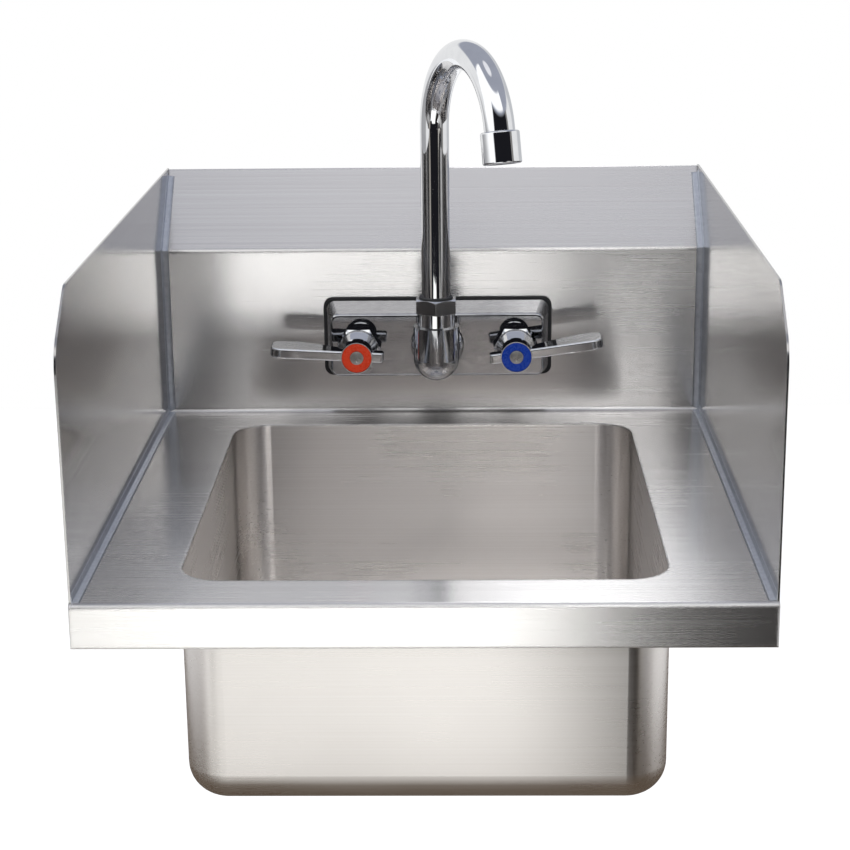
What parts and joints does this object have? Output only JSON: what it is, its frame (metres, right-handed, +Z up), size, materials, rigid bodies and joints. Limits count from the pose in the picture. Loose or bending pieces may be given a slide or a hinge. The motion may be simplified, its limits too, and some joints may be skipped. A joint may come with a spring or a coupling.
{
  "type": "wall-hung hand basin",
  "caption": "Wall-hung stainless hand basin with a drawn bowl, back and side splashes, basket drain, and a wall-mounted lever mixer tap with a swivel gooseneck spout.",
  "frame": {"origin": "on the wall, midway between the two screw holes of the wall bracket", "axes": "+X to the user's right, +Y into the wall, +Z up"},
  "size_m": [0.358, 0.4064, 0.438],
  "materials": {
    "stainless": "brushed satin sheet",
    "polished_weld": "ground and polished weld",
    "zinc_steel": "zinc plated strip",
    "drain_steel": "bright stainless",
    "rubber": "matt black",
    "fibre": "pressed fibre",
    "brass": "turned brass",
    "washer_steel": "plain steel",
    "ceramic": "lapped ceramic",
    "chrome": "bright chrome plate",
    "red_plastic": "glossy red",
    "blue_plastic": "glossy blue",
    "screw_steel": "bright screw",
    "grey_plastic": "moulded insert"
  },
  "bodies": {
    "basin": {"bowl": "stainless", "cold_bonnet": "chrome", "cold_inlet_shank": "brass", "cold_shank_nut": "brass", "cold_shank_washer": "washer_steel", "cold_valve_seat": "ceramic", "deck_and_backsplash": "stainless", "drain_body": "drain_steel", "drain_gasket": "rubber", "drain_locknut": "brass", "drain_washer": "fibre", "hot_bonnet": "chrome", "hot_inlet_shank": "brass", "hot_shank_nut": "brass", "hot_shank_washer": "washer_steel", "hot_valve_seat": "ceramic", "left_side_splash": "stainless", "left_weld": "polished_weld", "right_side_splash": "stainless", "right_weld": "polished_weld", "spout_nut": "chrome", "spout_wiper_ring": "rubber", "tap_body": "chrome", "tap_gasket": "rubber", "wall_bracket": "zinc_steel"},
    "strainer": {"strainer_basket": "drain_steel"},
    "hot_handle": {"hot_lever": "chrome", "hot_index_ring": "red_plastic", "hot_handle_screw": "screw_steel", "hot_stem": "brass", "hot_stem_seal": "rubber", "hot_valve_disc": "ceramic"},
    "cold_handle": {"cold_lever": "chrome", "cold_index_ring": "blue_plastic", "cold_handle_screw": "screw_steel", "cold_stem": "brass", "cold_stem_seal": "rubber", "cold_valve_disc": "ceramic"},
    "spout": {"spout_foot": "brass", "spout_seal": "rubber", "gooseneck_tube": "chrome", "aerator_housing": "chrome", "aerator_washer": "rubber", "aerator_insert": "grey_plastic"}
  },
  "joints": [
    {"name": "spout_swivel", "type": "hinge", "parent": "basin", "child": "spout", "pos_m": [0.0034, -0.1108, -0.029], "axis": [0, 0, 1], "range_deg": [-184, 136]},
    {"name": "hot_valve_turn", "type": "hinge", "parent": "basin", "child": "hot_handle", "pos_m": [-0.0474, -0.0958, -0.059], "axis": [0, -1, 0], "range_deg": [0, 90]},
    {"name": "cold_valve_turn", "type": "hinge", "parent": "basin", "child": "cold_handle", "pos_m": [0.0542, -0.0958, -0.059], "axis": [0, 1, 0], "range_deg": [0, 90]},
    {"name": "basket_lift", "type": "slide", "parent": "basin", "child": "strainer", "axis": [0, 0, 1], "range_m": [0, 0.15]}
  ]
}
